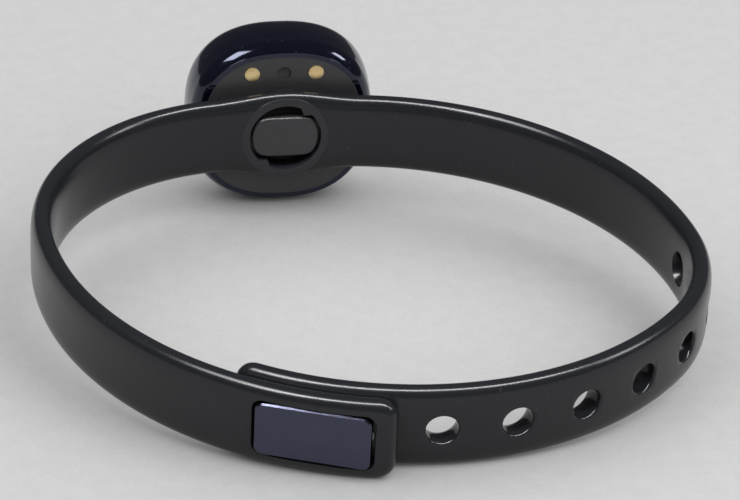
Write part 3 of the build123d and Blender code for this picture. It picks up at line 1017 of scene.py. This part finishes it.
finishPiece(rearCover, coverPlastic, "tracker", ["rear_cover"], cover["crease"])
print("tracker made")

contact = dict(
    radius=0.85,
    top=1.33,
    dome=0.10,          # its face falls away by this much at the edge
    domePower=2.5,
    domeSteps=6,
    head=1.75,
    shank=0.55,
    end=3.03,
    around=40,
)
pair = bmesh.new()
for side in (-1, 1):
    profile = []
    for step in range(contact["domeSteps"] + 1):
        share = step / contact["domeSteps"]
        fall = contact["dome"] * share ** contact["domePower"]
        profile.append((contact["top"] + fall, contact["radius"] * share))
    profile += [(contact["head"], contact["radius"]), (contact["head"], contact["shank"])]
    profile += [(contact["end"], contact["shank"]), (contact["end"], 0.0)]
    disc = turned(profile, roundOutline, contact["around"])
    bmesh.ops.translate(
        disc, verts=disc.verts, vec=(side * cover["contactSpacing"] / 2, 0, cover["contactHeight"])
    )
    addTool(pair, disc)
chargingContacts = makePiece(pair, "chargingContacts", bandPlace)
finishPiece(chargingContacts, contactGold, "tracker", ["charging_contacts"])
print("contacts made")

# floor, light and camera

stage = dict(
    size=3.0,
    squares=8,
    tone=0.61,
    dark=0.86,
    pale=1.14,
    blotch=2.4,
    fibre=0.5,
    fibreShare=0.5,
    roughness=0.75,
    fibreRough=0.1,
    fibreDepth=0.05,
    fibreStrength=0.3,
    ior=1.45,
)
floorFinish = Finish("studioFloor", IOR=stage["ior"])
blotches = floorFinish.noise(stage["blotch"], 4.0, 0.6)
fibres = floorFinish.noise(stage["fibre"], 3.0, 0.6)
mottle = blotches * (1 - stage["fibreShare"]) + fibres * stage["fibreShare"]
paper = floorFinish.blendColours(
    mottle, grey(stage["tone"] * stage["dark"]), grey(stage["tone"] * stage["pale"])
)
floorMaterial = floorFinish.set(
    Base_Color=paper,
    Roughness=stage["roughness"] + stage["fibreRough"] * fibres,
    Normal=floorFinish.bump(fibres, stage["fibreDepth"], stage["fibreStrength"]),
)
shape = bmesh.new()
bmesh.ops.create_grid(
    shape, x_segments=stage["squares"], y_segments=stage["squares"], size=stage["size"]
)
studioFloor = makePiece(shape, "studioFloor")
studioFloor.data.materials.append(floorMaterial)

# the lamps that draw highlights light only these groups, so the floor keeps its soft shadows
strapSide = [
    strapMain, strapClasp, claspPlate, bayonetInsert, bayonetKey, chargingContacts
]
litGroups = dict(pieces=strapSide + [topShell], edges=strapSide)
receivers = {name: bpy.data.collections.new(name) for name in litGroups}
for name, members in litGroups.items():
    for piece in members:
        receivers[name].objects.link(piece)

# directions and sizes in metres, power in watts; only mirrored lamps show in reflections
lamps = dict(
    ceiling=dict(
        toward=(0.02, -0.12, 1.0),
        distance=0.9,
        size=(3.6, 3.6),
        power=38.5,
        mirrored=False,
        lit=None,
    ),
    frontFill=dict(
        toward=(0.50, -0.50, 0.75),
        distance=1.0,
        size=(1.1, 1.1),
        power=4.2,
        mirrored=False,
        lit=None,
    ),
    leftSoftbox=dict(
        toward=(-0.50, -0.30, 0.80),
        distance=0.80,
        size=(0.34, 0.34),
        power=4.6,
        mirrored=True,
        lit="pieces",
    ),
    rightSoftbox=dict(
        toward=(0.80, -0.20, 0.56),
        distance=1.00,
        size=(0.22, 0.28),
        power=2.4,
        mirrored=True,
        lit="pieces",
    ),
    topStrip=dict(
        toward=(0.06, -0.40, 0.88),
        distance=0.90,
        size=(1.20, 0.15),
        power=17.0,
        mirrored=True,
        lit="edges",
    ),
)
for name, values in lamps.items():
    light = bpy.data.lights.new(name, "AREA")
    light.shape = "RECTANGLE"
    light.size, light.size_y = values["size"]
    light.energy = values["power"]
    lamp = bpy.data.objects.new(name, light)
    toward = Vector(values["toward"]).normalized()
    lamp.location = toward * values["distance"]
    lamp.rotation_euler = (-toward).to_track_quat("-Z", "Y").to_euler()
    lamp.visible_glossy = values["mirrored"]
    if values["lit"]:
        lamp.light_linking.receiver_collection = receivers[values["lit"]]
    bpy.context.scene.collection.objects.link(lamp)

air = dict(colour=(0.92, 0.93, 0.95, 1), strength=0.10)
world = bpy.data.worlds.new("studioAir")
world.use_nodes = True
background = world.node_tree.nodes["Background"]
background.inputs["Color"].default_value = air["colour"]
background.inputs["Strength"].default_value = air["strength"]
bpy.context.scene.world = world
bpy.context.scene.view_settings.view_transform = "Standard"

view = dict(
    distance=0.330,
    lens=147.75,
    elevation=26.70,
    turned=10.24,
    roll=3.2,
    aim=(1.95, 7.31, -6.63),      # from the middle of the object's box, in millimetres
    nearest=0.01,
)
low, high = (Vector(corner) for corner in cadBox)
aim = (low + high) / 2 + Vector(view["aim"]) * millimetre
rise, swing = math.radians(view["elevation"]), math.radians(view["turned"])
level = math.cos(rise)
ahead = Vector((math.sin(swing) * level, math.cos(swing) * level, -math.sin(rise)))
levelRight = ahead.cross(upward).normalized()
levelUp = levelRight.cross(ahead)
roll = math.radians(view["roll"])
right = levelRight * math.cos(roll) + levelUp * math.sin(roll)
cameraUp = levelUp * math.cos(roll) - levelRight * math.sin(roll)
camera = bpy.data.objects.new("camera", bpy.data.cameras.new("camera"))
camera.data.lens = view["lens"]
camera.data.clip_start = view["nearest"]
camera.matrix_world = Matrix.Translation(aim - ahead * view["distance"]) @ Matrix(
    (right, cameraUp, -ahead)
).transposed().to_4x4()
bpy.context.scene.collection.objects.link(camera)
bpy.context.scene.camera = camera
print("studio set")

bpy.context.view_layer.update()
